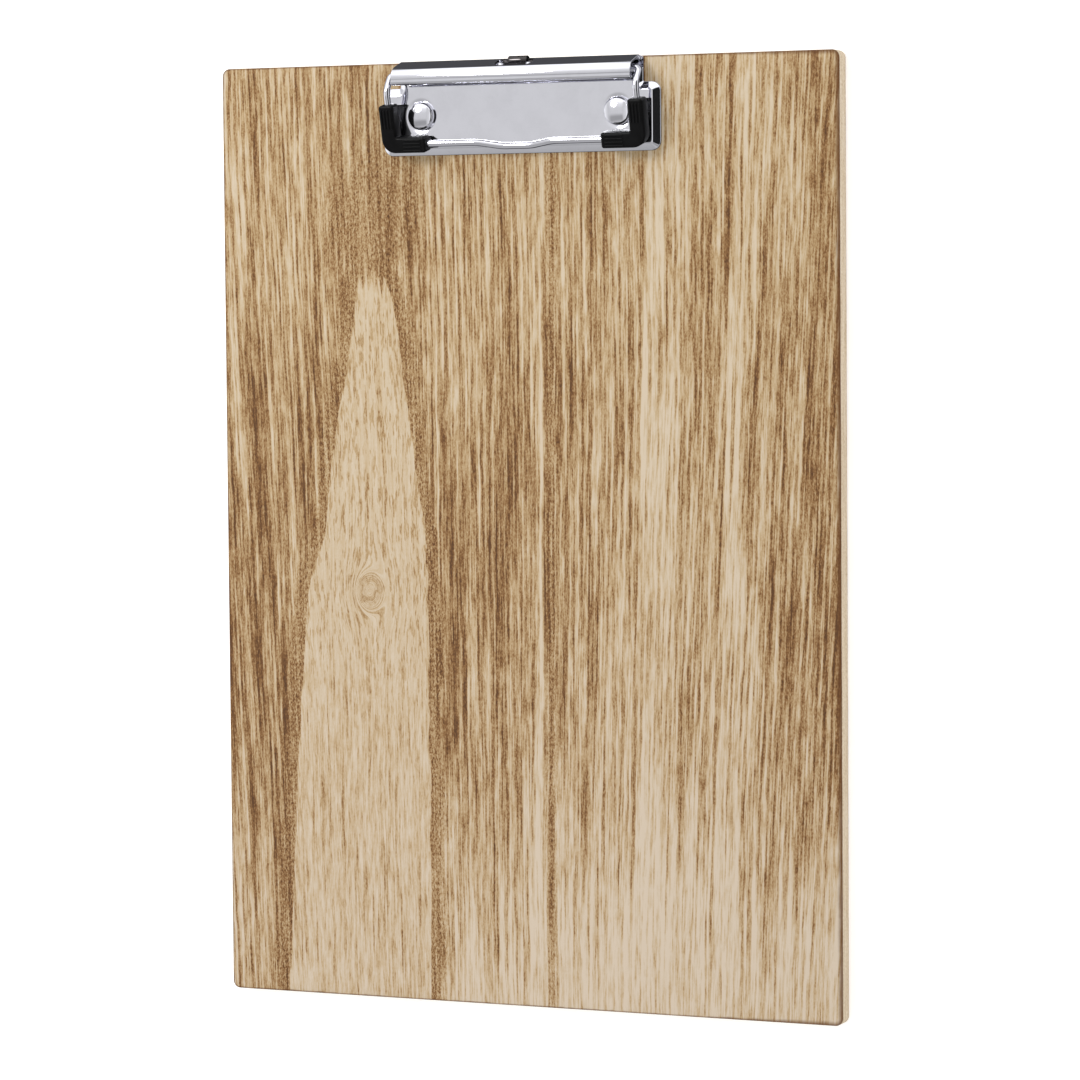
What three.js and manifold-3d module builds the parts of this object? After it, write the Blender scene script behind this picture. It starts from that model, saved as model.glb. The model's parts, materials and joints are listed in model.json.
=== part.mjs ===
// A4 clipboard: a wooden board with a riveted low-profile clip of bright sheet steel, whose rolled
// lever carries a sprung wire bail with two rubber corner grips.
//
// Units are millimetres, +Z up. The board lies on its back: +X is its right, +Y runs towards the
// clip's end, and the front face looks up. The origin is the middle of the back face.
import * as THREE from "three";
import { mergeVertices } from "three/addons/utils/BufferGeometryUtils.js";
import Module from "manifold-3d";

const wasm = await Module();
wasm.setup();

// Board
const BOARD_WIDTH = 225;
const BOARD_LENGTH = 320;
const BOARD_THICKNESS = 7;
const BOARD_CORNER = 2.6;

// Clip positions are given as "down", the distance from the board's top edge towards its bottom
// edge, and "height", the distance above the board's front face.
const CLEARANCE = 0.3;

// Base plate: a pressed panel with a bevelled rim. Under the lever its top runs on as a shelf, which
// steps down to a flat tail along the board's top edge.
const PLATE_SHEET = 0.7;
const PANEL_TOP_DOWN = 8.6;
const PANEL_BOTTOM_DOWN = 31.4;
const PANEL_HALF_WIDTH = 50.5;
const PANEL_HEIGHT = 2.2;
const RIM_HEIGHT = 0.5;
const BEVEL_WIDTH = 2.4;
const PANEL_CORNER = 0.9;
const SHELF_END_DOWN = 5.2;
const SHELF_FOOT_DOWN = 3.4;
const REAR_HALF_WIDTH = 44.3;
const TAIL_END_DOWN = 0.1;

// Lever hinge: a bead along the lever's rear edge, held by a curled tongue of the base plate
const HINGE_DOWN = 0.5;
const HINGE_HEIGHT = 1.7;
const BEAD_RADIUS = 0.8;
const CURL_INNER = BEAD_RADIUS + CLEARANCE;
const TONGUE_SHEET = 0.55;
const CURL_OUTER = CURL_INNER + TONGUE_SHEET;
const CURL_END_ANGLE = THREE.MathUtils.degToRad(150);
const TONGUE_HALF_WIDTH = 3.4;
const TONGUE_ROOT_DOWN = 2.9;
const TONGUE_ROOM_DOWN = 2.4;

// Lever: one rolled sheet, from the bead up a steep wall, over a shoulder and down to a finger lip
const LEVER_SHEET = 0.65;
const LEVER_HALF_LENGTH = 43.45;
const WALL_TOP = { down: 1.5, height: 7 };
const SHOULDER_CONTROL = { down: 2.7, height: 10.4 };
const CREST = { down: 5.6, height: 10.5 };
const CREASE = { down: 6.4, height: 10.35 };
const LIP_CONTROL = { down: 7.7, height: 10.6 };
const LIP_END = { down: 8.0, height: 9.2 };
const SLOT_HALF_WIDTH = 6.7;
const SLOT_START = 0.85;
const SLOT_END = 7;
const SLOT_CORNER = 2;

// Wire bail, turning in two straps of the lever
const WIRE_RADIUS = 1.15;
const BAIL_DOWN = 4.4;
const BAIL_HEIGHT = 6.2;
const LEG_X = 45.2;
const TIP_X = 5.1;
const TIP_ANGLE = THREE.MathUtils.degToRad(25);
const TIP_END_DOWN = 1.8;
const LEG_CREST_DOWN = 9.6;
const LEG_CREST_HEIGHT = 9.9;
const LEG_KNEE_DOWN = 13.3;
const FOOT_DOWN = 27.6;
const FOOT_HEIGHT = 5.6;
const DIP_FLAT_HALF = 5.4;
const DIP_HALF = 13.6;
const DIP_DOWN = 1.3;
const DIP_DROP = 1.6;
const STRAP_X = 39;
const STRAP_WIDTH = 4;
const STRAP_INNER = WIRE_RADIUS + CLEARANCE;
const STRAP_OUTER = 2.6;
const STRAP_START_ANGLE = THREE.MathUtils.degToRad(-60);
const STRAP_END_ANGLE = THREE.MathUtils.degToRad(207);
const TIP_BEND = 1.6;
const PIVOT_BEND = 1.5;
const LEG_CREST_BEND = 2.2;
const LEG_KNEE_BEND = 1.2;
const FOOT_BEND = 2.4;
const DIP_BEND = 1.8;
const WIRE_SIDES = 10;
const WIRE_STEPS = 170;

// Rubber corner grips: L-shaped sleeves on the bail's lower corners
const GRIP_TOP_DOWN = 14.3;
const GRIP_TOP_HEIGHT = 8.8;
const GRIP_HALF_WIDTH = 2.65;
const GRIP_INNER_X = 32;
const GRIP_OUTER_CORNER = 4.6;
const GRIP_EDGE = 0.7;
const RIB_COUNT = 4;
const RIB_PITCH = 1.15;
const RIB_WIDTH = 0.55;
const RIB_RISE = 0.3;
const RIB_LENGTH = 6.6;
const RIB_MARGIN = 1.4;

// Rivets and the washers behind the board
const RIVET_X = 35.9;
const RIVET_DOWN = 18.1;
const RIVET_HEAD_RADIUS = 4.75;
const RIVET_HEAD_RISE = 2.4;
const RIVET_HEAD_EDGE = 0.7;
const RIVET_HEAD_RINGS = 7;
const RIVET_SHANK_RADIUS = 2;
const RIVET_HOLE_RADIUS = RIVET_SHANK_RADIUS + CLEARANCE;
const RIVET_TAIL_RADIUS = 3.4;
const RIVET_TAIL_HEIGHT = 0.4;
const RIVET_TAIL_EASE = 0.2;
const RIVET_LIP_RADIUS = 2.6;
const RIVET_BORE_RADIUS = 1.2;
const RIVET_FLARE_RADIUS = 1.7;
const RECESS_RADIUS = 5.5;
const RECESS_DEPTH = 2;
const WASHER_RADIUS = 5;
const WASHER_THICKNESS = 0.6;

const toY = (down) => BOARD_LENGTH / 2 - down;
const toZ = (height) => BOARD_THICKNESS + height;
const sidePoint = ({ down, height }) => new THREE.Vector2(toY(down), toZ(height));

// Turns a shape drawn with (x, y) = (model Y, model Z) and extruded in z into a body along X.
const SIDE_VIEW = new THREE.Matrix4().makeBasis(
  new THREE.Vector3(0, 1, 0),
  new THREE.Vector3(0, 0, 1),
  new THREE.Vector3(1, 0, 0),
);

function toSolid(geometry) {
  const bare = geometry.clone();
  bare.deleteAttribute("normal");
  bare.deleteAttribute("uv");
  const merged = mergeVertices(bare, 1e-4);
  return new wasm.Manifold(new wasm.Mesh({
    numProp: 3,
    vertProperties: new Float32Array(merged.attributes.position.array),
    triVerts: new Uint32Array(merged.index.array),
  }));
}

function toGeometry(solid) {
  const mesh = solid.getMesh();
  const geometry = new THREE.BufferGeometry();
  geometry.setAttribute("position", new THREE.BufferAttribute(mesh.vertProperties, 3));
  geometry.setIndex(new THREE.BufferAttribute(mesh.triVerts, 1));
  return geometry;
}

function joinAll(solids) {
  return solids.reduce((whole, piece) => whole.add(piece));
}

function roundedRectangle(xMin, xMax, yMin, yMax, radius) {
  const shape = new THREE.Shape();
  shape.moveTo(xMin + radius, yMin);
  shape.lineTo(xMax - radius, yMin);
  shape.absarc(xMax - radius, yMin + radius, radius, -Math.PI / 2, 0);
  shape.lineTo(xMax, yMax - radius);
  shape.absarc(xMax - radius, yMax - radius, radius, 0, Math.PI / 2);
  shape.lineTo(xMin + radius, yMax);
  shape.absarc(xMin + radius, yMax - radius, radius, Math.PI / 2, Math.PI);
  shape.lineTo(xMin, yMin + radius);
  shape.absarc(xMin + radius, yMin + radius, radius, Math.PI, 1.5 * Math.PI);
  return shape;
}

function boxSolid(xMin, xMax, yMin, yMax, zMin, zMax) {
  const geometry = new THREE.BoxGeometry(xMax - xMin, yMax - yMin, zMax - zMin);
  geometry.translate((xMin + xMax) / 2, (yMin + yMax) / 2, (zMin + zMax) / 2);
  return toSolid(geometry);
}

// An upright cylinder between two Z values.
function roundSolid(x, y, radius, zMin, zMax, sides = 40) {
  const geometry = new THREE.CylinderGeometry(radius, radius, zMax - zMin, sides);
  geometry.rotateX(Math.PI / 2);
  geometry.translate(x, y, (zMin + zMax) / 2);
  return toSolid(geometry);
}

// A side-view shape extruded along X from one X value to another.
function alongX(shape, xMin, xMax, curveSegments = 12) {
  const geometry = new THREE.ExtrudeGeometry(shape, {
    depth: xMax - xMin,
    bevelEnabled: false,
    curveSegments,
  });
  geometry.translate(0, 0, xMin);
  geometry.applyMatrix4(SIDE_VIEW);
  return toSolid(geometry);
}

function ringSector(centre, inner, outer, startAngle, endAngle) {
  const shape = new THREE.Shape();
  shape.absarc(centre.x, centre.y, outer, startAngle, endAngle, false);
  shape.absarc(centre.x, centre.y, inner, endAngle, startAngle, true);
  return shape;
}

function makeBoard() {
  const outline = roundedRectangle(
    -BOARD_WIDTH / 2, BOARD_WIDTH / 2, -BOARD_LENGTH / 2, BOARD_LENGTH / 2, BOARD_CORNER,
  );
  const slab = toSolid(new THREE.ExtrudeGeometry(outline, {
    depth: BOARD_THICKNESS,
    bevelEnabled: false,
    curveSegments: 8,
  }));
  const holes = [-RIVET_X, RIVET_X].map((x) => joinAll([
    roundSolid(x, toY(RIVET_DOWN), RIVET_HOLE_RADIUS, -1, BOARD_THICKNESS + 1),
    roundSolid(x, toY(RIVET_DOWN), RECESS_RADIUS, -1, RECESS_DEPTH),
  ]));
  return slab.subtract(joinAll(holes));
}

// The pressed panel's outside, or with an inset its hollow inside. The extrusion is bevelled at both
// ends, so its lower half reaches below the board's face and is cut away by the caller.
function pressedPanel(inset) {
  const flat = BEVEL_WIDTH + inset;
  const outline = roundedRectangle(
    -PANEL_HALF_WIDTH + flat,
    PANEL_HALF_WIDTH - flat,
    toY(PANEL_BOTTOM_DOWN) + flat,
    toY(PANEL_TOP_DOWN) - flat,
    PANEL_CORNER,
  );
  const geometry = new THREE.ExtrudeGeometry(outline, {
    depth: 2 * RIM_HEIGHT,
    bevelEnabled: true,
    bevelThickness: PANEL_HEIGHT - RIM_HEIGHT,
    bevelSize: BEVEL_WIDTH,
    bevelSegments: 1,
    curveSegments: 5,
  });
  geometry.translate(0, 0, toZ(0) - RIM_HEIGHT - inset);
  return toSolid(geometry);
}

// The strip that runs out of the tail and curls round the lever's bead.
function hingeTongue() {
  const hinge = sidePoint({ down: HINGE_DOWN, height: HINGE_HEIGHT });
  const shape = new THREE.Shape();
  shape.moveTo(toY(TONGUE_ROOT_DOWN), hinge.y - CURL_OUTER);
  shape.lineTo(hinge.x, hinge.y - CURL_OUTER);
  shape.absarc(hinge.x, hinge.y, CURL_OUTER, -Math.PI / 2, CURL_END_ANGLE, false);
  shape.absarc(hinge.x, hinge.y, CURL_INNER, CURL_END_ANGLE, -Math.PI / 2, true);
  shape.lineTo(toY(TONGUE_ROOT_DOWN), hinge.y - CURL_INNER);
  return alongX(shape, -TONGUE_HALF_WIDTH, TONGUE_HALF_WIDTH);
}

// The block under the shelf's top, or with an inset its hollow inside.
function shelfBlock(inset) {
  const floor = toZ(-PANEL_HEIGHT);
  const top = toZ(PANEL_HEIGHT - inset);
  const foot = SHELF_FOOT_DOWN + inset;
  const shape = new THREE.Shape();
  shape.moveTo(toY(PANEL_TOP_DOWN + 2 * BEVEL_WIDTH), floor);
  shape.lineTo(toY(foot), floor);
  shape.lineTo(toY(foot), toZ(PLATE_SHEET - inset));
  shape.lineTo(toY(SHELF_END_DOWN + inset / 2), top);
  shape.lineTo(toY(PANEL_TOP_DOWN + 2 * BEVEL_WIDTH), top);
  return alongX(shape, -REAR_HALF_WIDTH + inset, REAR_HALF_WIDTH - inset);
}

function makeBasePlate() {
  const below = -2 * PANEL_HEIGHT;
  const tail = boxSolid(
    -REAR_HALF_WIDTH,
    REAR_HALF_WIDTH,
    toY(PANEL_TOP_DOWN + PLATE_SHEET / 2),
    toY(TAIL_END_DOWN),
    toZ(below),
    toZ(PLATE_SHEET),
  );
  const tongueRoom = boxSolid(
    -TONGUE_HALF_WIDTH - CLEARANCE,
    TONGUE_HALF_WIDTH + CLEARANCE,
    toY(TONGUE_ROOM_DOWN),
    toY(TAIL_END_DOWN - 1),
    toZ(below - 1),
    toZ(PANEL_HEIGHT),
  );
  const aboveBoard = boxSolid(
    -BOARD_WIDTH, BOARD_WIDTH, 0, BOARD_LENGTH, toZ(0), toZ(2 * PANEL_HEIGHT),
  );
  const holes = [-RIVET_X, RIVET_X].map(
    (x) => roundSolid(x, toY(RIVET_DOWN), RIVET_HOLE_RADIUS, toZ(-1), toZ(PANEL_HEIGHT + 1)),
  );
  return joinAll([pressedPanel(0), shelfBlock(0), tail])
    .subtract(joinAll([pressedPanel(PLATE_SHEET), shelfBlock(PLATE_SHEET)]))
    .intersect(aboveBoard)
    .subtract(tongueRoom)
    .add(hingeTongue())
    .subtract(joinAll(holes));
}

// The lever's outer surface, from the bead to the lip, as a smooth list of side-view points.
function leverOuterPath() {
  const hinge = sidePoint({ down: HINGE_DOWN, height: HINGE_HEIGHT });
  const wallTop = sidePoint(WALL_TOP);
  const wall = wallTop.clone().sub(hinge);
  const tilt = Math.asin(BEAD_RADIUS / wall.length());
  const rearNormal = wall.clone().normalize().rotateAround(new THREE.Vector2(), -Math.PI / 2 + tilt);
  const path = new THREE.Path();
  path.moveTo(hinge.x + BEAD_RADIUS * rearNormal.x, hinge.y + BEAD_RADIUS * rearNormal.y);
  path.lineTo(wallTop.x, wallTop.y);
  const bends = [[SHOULDER_CONTROL, CREST], [null, CREASE], [LIP_CONTROL, LIP_END]];
  for (const [control, end] of bends) {
    const endPoint = sidePoint(end);
    if (control) {
      const controlPoint = sidePoint(control);
      path.quadraticCurveTo(controlPoint.x, controlPoint.y, endPoint.x, endPoint.y);
    } else {
      path.lineTo(endPoint.x, endPoint.y);
    }
  }
  return path.getPoints(7);
}

// A closed strip of sheet: the outer points, then the same points moved inwards by the thickness.
function sheetSection(points, thickness) {
  const inner = points.map((point, index) => {
    const before = points[Math.max(index - 1, 0)];
    const after = points[Math.min(index + 1, points.length - 1)];
    const along = after.clone().sub(before).normalize();
    return new THREE.Vector2(point.x - along.y * thickness, point.y + along.x * thickness);
  });
  return new THREE.Shape([...points, ...inner.reverse()]);
}

// The slot is cut square to the lever's wall, measured along the wall from the hinge.
function leverSlot() {
  const hinge = sidePoint({ down: HINGE_DOWN, height: HINGE_HEIGHT });
  const lean = sidePoint(WALL_TOP).sub(hinge).angle();
  const outline = roundedRectangle(
    -SLOT_HALF_WIDTH, SLOT_HALF_WIDTH, SLOT_START, SLOT_END, SLOT_CORNER,
  );
  const cutDepth = 4 * BEAD_RADIUS;
  const geometry = new THREE.ExtrudeGeometry(outline, {
    depth: cutDepth,
    bevelEnabled: false,
    curveSegments: 6,
  });
  geometry.translate(0, 0, -cutDepth / 2);
  geometry.rotateX(lean);
  geometry.translate(0, hinge.x, hinge.y);
  return toSolid(geometry);
}

function makeLever() {
  const hinge = sidePoint({ down: HINGE_DOWN, height: HINGE_HEIGHT });
  const sheet = alongX(
    sheetSection(leverOuterPath(), LEVER_SHEET), -LEVER_HALF_LENGTH, LEVER_HALF_LENGTH,
  );
  const beadShape = new THREE.Shape();
  beadShape.absarc(hinge.x, hinge.y, BEAD_RADIUS, 0, 2 * Math.PI);
  const bead = alongX(beadShape, -LEVER_HALF_LENGTH, LEVER_HALF_LENGTH, 8);
  const pivot = sidePoint({ down: BAIL_DOWN, height: BAIL_HEIGHT });
  const strapShape = ringSector(
    pivot, STRAP_INNER, STRAP_OUTER, STRAP_START_ANGLE, STRAP_END_ANGLE,
  );
  const straps = [-STRAP_X, STRAP_X].map(
    (x) => alongX(strapShape, x - STRAP_WIDTH / 2, x + STRAP_WIDTH / 2),
  );
  return joinAll([sheet, bead, ...straps]).subtract(leverSlot());
}

// Lines joined by rounded bends. Each corner is a point with the length its bend takes up.
function bentPath(corners) {
  const path = new THREE.CurvePath();
  let start = corners[0].point;
  for (let index = 1; index < corners.length - 1; index += 1) {
    const { point, bend } = corners[index];
    const back = corners[index - 1].point.clone().sub(point).setLength(bend).add(point);
    const ahead = corners[index + 1].point.clone().sub(point).setLength(bend).add(point);
    path.add(new THREE.LineCurve3(start, back));
    path.add(new THREE.QuadraticBezierCurve3(back, point, ahead));
    start = ahead;
  }
  path.add(new THREE.LineCurve3(start, corners[corners.length - 1].point));
  return path;
}

// The bail's centre line on one side, from the tip in the lever's slot to the dip's edge. Below the
// knee the leg runs straight through the grip to the foot.
function halfBail(side) {
  const tipReach = BAIL_DOWN - TIP_END_DOWN;
  const tipHeight = BAIL_HEIGHT - tipReach * Math.tan(TIP_ANGLE);
  const gripSlope = (GRIP_TOP_HEIGHT - FOOT_HEIGHT) / (FOOT_DOWN - GRIP_TOP_DOWN);
  const kneeHeight = FOOT_HEIGHT + gripSlope * (FOOT_DOWN - LEG_KNEE_DOWN);
  const places = [
    [TIP_X, TIP_END_DOWN, tipHeight, 0],
    [TIP_X, BAIL_DOWN, BAIL_HEIGHT, TIP_BEND],
    [LEG_X, BAIL_DOWN, BAIL_HEIGHT, PIVOT_BEND],
    [LEG_X, LEG_CREST_DOWN, LEG_CREST_HEIGHT, LEG_CREST_BEND],
    [LEG_X, LEG_KNEE_DOWN, kneeHeight, LEG_KNEE_BEND],
    [LEG_X, FOOT_DOWN, FOOT_HEIGHT, FOOT_BEND],
    [DIP_HALF, FOOT_DOWN, FOOT_HEIGHT, DIP_BEND],
    [DIP_FLAT_HALF, FOOT_DOWN + DIP_DOWN, FOOT_HEIGHT - DIP_DROP, DIP_BEND],
  ];
  return places.map(([x, down, height, bend]) => ({
    point: new THREE.Vector3(side * x, toY(down), toZ(height)),
    bend,
  }));
}

function bailSolid(radius) {
  const path = bentPath([...halfBail(-1), ...halfBail(1).reverse()]);
  const section = new THREE.Shape();
  section.absarc(0, 0, radius, 0, 2 * Math.PI);
  return toSolid(new THREE.ExtrudeGeometry(section, {
    extrudePath: path,
    steps: WIRE_STEPS,
    curveSegments: WIRE_SIDES / 2,
    bevelEnabled: false,
  }));
}

// The L outline of a grip, with u outwards from the wire's bottom corner and v up the leg.
function gripOutline(legLength, footLength) {
  const half = GRIP_HALF_WIDTH - GRIP_EDGE;
  const corner = GRIP_OUTER_CORNER - GRIP_EDGE;
  const shape = new THREE.Shape();
  shape.moveTo(half, -half + corner);
  shape.lineTo(half, legLength - GRIP_EDGE);
  shape.lineTo(-half, legLength - GRIP_EDGE);
  shape.lineTo(-half, half);
  shape.lineTo(-footLength + GRIP_EDGE, half);
  shape.lineTo(-footLength + GRIP_EDGE, -half);
  shape.lineTo(half - corner, -half);
  shape.absarc(half - corner, -half + corner, corner, -Math.PI / 2, 0);
  return shape;
}

function gripRibs(legLength, footLength) {
  const front = GRIP_HALF_WIDTH;
  const ribs = [];
  for (let index = 0; index < RIB_COUNT; index += 1) {
    const offset = (index - (RIB_COUNT - 1) / 2) * RIB_PITCH;
    const low = offset - RIB_WIDTH / 2;
    const high = offset + RIB_WIDTH / 2;
    const legEnd = legLength - RIB_MARGIN;
    const footEnd = -footLength + RIB_MARGIN;
    ribs.push(boxSolid(low, high, legEnd - RIB_LENGTH, legEnd, front - 1, front + RIB_RISE));
    ribs.push(boxSolid(footEnd, footEnd + RIB_LENGTH, low, high, front - 1, front + RIB_RISE));
  }
  return ribs;
}

// One grip, drawn flat, mirrored for the left side, tilted to the bail's slope, and bored for it.
function makeGrip(side) {
  const run = FOOT_DOWN - GRIP_TOP_DOWN;
  const rise = GRIP_TOP_HEIGHT - FOOT_HEIGHT;
  const legLength = Math.hypot(run, rise);
  const footLength = LEG_X - GRIP_INNER_X;
  const geometry = new THREE.ExtrudeGeometry(gripOutline(legLength, footLength), {
    depth: 2 * (GRIP_HALF_WIDTH - GRIP_EDGE),
    bevelEnabled: true,
    bevelThickness: GRIP_EDGE,
    bevelSize: GRIP_EDGE,
    bevelSegments: 2,
    curveSegments: 6,
  });
  geometry.translate(0, 0, -GRIP_HALF_WIDTH + GRIP_EDGE);
  const body = joinAll([toSolid(geometry), ...gripRibs(legLength, footLength)]);
  const facing = side > 0 ? body : body.mirror([1, 0, 0]);
  const slope = THREE.MathUtils.radToDeg(Math.atan2(rise, run));
  return facing
    .rotate([slope, 0, 0])
    .translate([side * LEG_X, toY(FOOT_DOWN), toZ(FOOT_HEIGHT)])
    .subtract(bailSolid(WIRE_RADIUS + CLEARANCE));
}

// A rivet with a hollow spread tail and a low domed head, turned about an upright axis.
function makeRivet(x) {
  const seat = toZ(PANEL_HEIGHT);
  const tailTop = RECESS_DEPTH - WASHER_THICKNESS;
  const profile = [
    [0, tailTop - RIVET_TAIL_EASE],
    [RIVET_BORE_RADIUS, tailTop - RIVET_TAIL_EASE],
    [RIVET_FLARE_RADIUS, RIVET_TAIL_HEIGHT],
    [RIVET_LIP_RADIUS, RIVET_TAIL_HEIGHT],
    [RIVET_TAIL_RADIUS, tailTop - 2 * RIVET_TAIL_EASE],
    [RIVET_TAIL_RADIUS - RIVET_TAIL_EASE, tailTop],
    [RIVET_SHANK_RADIUS, tailTop],
    [RIVET_SHANK_RADIUS, seat],
    [RIVET_HEAD_RADIUS, seat],
  ];
  const points = profile.map(([radius, height]) => new THREE.Vector2(radius, height));
  for (let index = 0; index <= RIVET_HEAD_RINGS; index += 1) {
    const angle = (index / RIVET_HEAD_RINGS) * (Math.PI / 2);
    const radius = index === RIVET_HEAD_RINGS ? 0 : RIVET_HEAD_RADIUS * Math.cos(angle);
    const rise = (RIVET_HEAD_RISE - RIVET_HEAD_EDGE) * Math.sin(angle);
    points.push(new THREE.Vector2(radius, seat + RIVET_HEAD_EDGE + rise));
  }
  const geometry = new THREE.LatheGeometry(points, 32);
  geometry.rotateX(Math.PI / 2);
  geometry.translate(x, toY(RIVET_DOWN), 0);
  return toSolid(geometry);
}

function makeWasher(x) {
  const floor = RECESS_DEPTH - WASHER_THICKNESS;
  const y = toY(RIVET_DOWN);
  return roundSolid(x, y, WASHER_RADIUS, floor, RECESS_DEPTH)
    .subtract(roundSolid(x, y, RIVET_HOLE_RADIUS, floor - 1, RECESS_DEPTH + 1));
}

const wood = new THREE.MeshStandardMaterial({ color: 0xc8ab80, roughness: 0.7, metalness: 0 });
const chrome = new THREE.MeshStandardMaterial({ color: 0xd8d9dd, roughness: 0.1, metalness: 1 });
const rubber = new THREE.MeshStandardMaterial({ color: 0x161617, roughness: 0.55, metalness: 0 });
const zinc = new THREE.MeshStandardMaterial({ color: 0xb4b5b6, roughness: 0.35, metalness: 1 });

const group = new THREE.Group();

function addPart(name, solid, material) {
  const mesh = new THREE.Mesh(toGeometry(solid), material);
  mesh.name = name;
  group.add(mesh);
}

addPart("board", makeBoard(), wood);
addPart("base_plate", makeBasePlate(), chrome);
addPart("lever", makeLever(), chrome);
addPart("wire_bail", bailSolid(WIRE_RADIUS), chrome);
for (const [name, side] of [["left", -1], ["right", 1]]) {
  addPart(`grip_${name}`, makeGrip(side), rubber);
  addPart(`rivet_${name}`, makeRivet(side * RIVET_X), chrome);
  addPart(`washer_${name}`, makeWasher(side * RIVET_X), zinc);
}

export default group;
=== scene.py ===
"""Looks for the clipboard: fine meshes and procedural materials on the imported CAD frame.

Everything is in metres in the row frame: +Z out of the board's front face, +Y towards the clip. Inside
this file the clip's sizes are in millimetres, and a place on it is (x, down, height): "down" from the
board's top edge, "height" above its front face.
"""
import json
import math

import bmesh
import bpy
from mathutils import Matrix, Vector


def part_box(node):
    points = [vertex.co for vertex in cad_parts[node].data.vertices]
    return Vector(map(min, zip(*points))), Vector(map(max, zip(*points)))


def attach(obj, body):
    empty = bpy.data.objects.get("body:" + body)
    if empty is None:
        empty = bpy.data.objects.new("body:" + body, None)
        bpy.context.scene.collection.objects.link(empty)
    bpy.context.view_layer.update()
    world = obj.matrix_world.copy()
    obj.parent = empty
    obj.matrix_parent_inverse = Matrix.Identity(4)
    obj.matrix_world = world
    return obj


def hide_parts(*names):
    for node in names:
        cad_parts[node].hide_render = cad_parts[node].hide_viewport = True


MM = 0.001

# Camera: a long lens, swung to the board's right and a little up
CAMERA_DISTANCE = 1.3966
CAMERA_SWING = math.radians(23.158)
CAMERA_RISE = math.radians(3.267)
CAMERA_ROLL = math.radians(-0.455)
CAMERA_AIM = Vector((5.63 * MM, -1.27 * MM, 0.0))
CAMERA_LENS = 138.2
CAMERA_SENSOR = 36.0

# Board
BOARD_CORNER = 2.6
BOARD_EASE = 0.45
RECESS_RADIUS = 5.5
RECESS_DEPTH = 2.0
RIVET_HOLE_RADIUS = 2.3

# Base plate
PLATE_SHEET = 0.7
PANEL_HALF_WIDTH = 50.5
PANEL_TOP_DOWN = 8.6
PANEL_BOTTOM_DOWN = 31.4
PANEL_HEIGHT = 2.2
RIM_HEIGHT = 0.5
BEVEL_WIDTH = 2.4
FLAT_MARGIN = 0.8
PANEL_CORNER = 3.3
DIMPLE_RADIUS = 6.8
DIMPLE_DEPTH = 0.3
SHELF_FOOT_DOWN = 3.4
REAR_HALF_WIDTH = 44.3
TAIL_END_DOWN = 0.1
TAIL_EASE = 0.12
TONGUE_HALF_WIDTH = 3.4
TONGUE_GAP = 0.3
TONGUE_SHEET = 0.55
TONGUE_ROOT_DOWN = 2.9
TONGUE_ROOM_DOWN = 2.4
CURL_RADIUS = 1.375
CURL_END = math.radians(150)

# Lever
LEVER_SHEET = 0.65
LEVER_HALF_LENGTH = 43.45
BEAD_RADIUS = 0.8
BEAD_TURN = math.radians(240)
WALL_TOP = Vector((1.5, 7.0))
SHOULDER = Vector((2.7, 10.4))
CREST = Vector((5.6, 10.5))
CREASE = Vector((6.4, 10.35))
LIP_BEND = Vector((7.7, 10.6))
LIP_END = Vector((8.0, 9.2))
SLOT_HALF_WIDTH = 6.7
SLOT_START = 0.85
SLOT_END = 7.0
SLOT_CORNER = 2.0
STRAP_X = 39.0
STRAP_WIDTH = 4.0
STRAP_INNER = 1.45
STRAP_OUTER = 2.6
STRAP_START = math.radians(-60)
STRAP_END = math.radians(207)

# Wire bail
WIRE_RADIUS = 1.15
LEG_X = 45.2
TIP_X = 5.1
TIP_ANGLE = math.radians(25)
TIP_END_DOWN = 1.8
LEG_CREST_DOWN = 9.6
LEG_CREST_HEIGHT = 9.9
LEG_KNEE_DOWN = 13.3
FOOT_DOWN = 27.6
FOOT_HEIGHT = 5.6
DIP_FLAT_HALF = 5.4
DIP_HALF = 13.6
DIP_DOWN = 1.3
DIP_DROP = 1.6
GRIP_TOP_DOWN = 14.3
GRIP_TOP_HEIGHT = 8.8

# Rubber grips
GRIP_HALF_WIDTH = 2.65
GRIP_INNER_X = 32.0
GRIP_OUTER_CORNER = 4.6
GRIP_EDGE = 0.75
RIB_COUNT = 4
RIB_PITCH = 1.15
RIB_WIDTH = 0.6
RIB_RISE = 0.34
RIB_ROUND = 0.24
RIB_LENGTH = 6.6
RIB_MARGIN = 1.4

# Rivets and washers
RIVET_HEAD_RADIUS = 4.75
RIVET_HEAD_RISE = 2.4
RIVET_HEAD_EASE = 0.95
RIVET_CAP_LEAN = math.radians(68.5)
RIVET_SHANK_RADIUS = 2.0
RIVET_TAIL_RADIUS = 3.4
RIVET_TAIL_HEIGHT = 0.4
RIVET_HOLLOW_RADIUS = 1.55
RIVET_ROLL_RISE = 0.45
WASHER_RADIUS = 5.0
WASHER_THICKNESS = 0.6

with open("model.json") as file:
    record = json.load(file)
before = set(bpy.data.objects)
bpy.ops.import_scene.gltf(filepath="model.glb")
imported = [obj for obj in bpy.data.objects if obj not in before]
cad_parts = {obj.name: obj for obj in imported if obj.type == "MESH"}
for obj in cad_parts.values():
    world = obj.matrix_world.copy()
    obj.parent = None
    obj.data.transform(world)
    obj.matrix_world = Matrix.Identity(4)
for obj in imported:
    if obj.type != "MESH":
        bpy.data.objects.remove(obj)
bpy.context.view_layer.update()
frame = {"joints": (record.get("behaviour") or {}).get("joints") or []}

BOARD_LOW, BOARD_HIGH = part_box("board")
HINGE = Vector(frame["joints"][0]["pos_m"])
BAIL_PIVOT = Vector(frame["joints"][1]["pos_m"])


def to_down(y):
    return (BOARD_HIGH.y - y) / MM


def to_height(z):
    return (z - BOARD_HIGH.z) / MM


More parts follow.
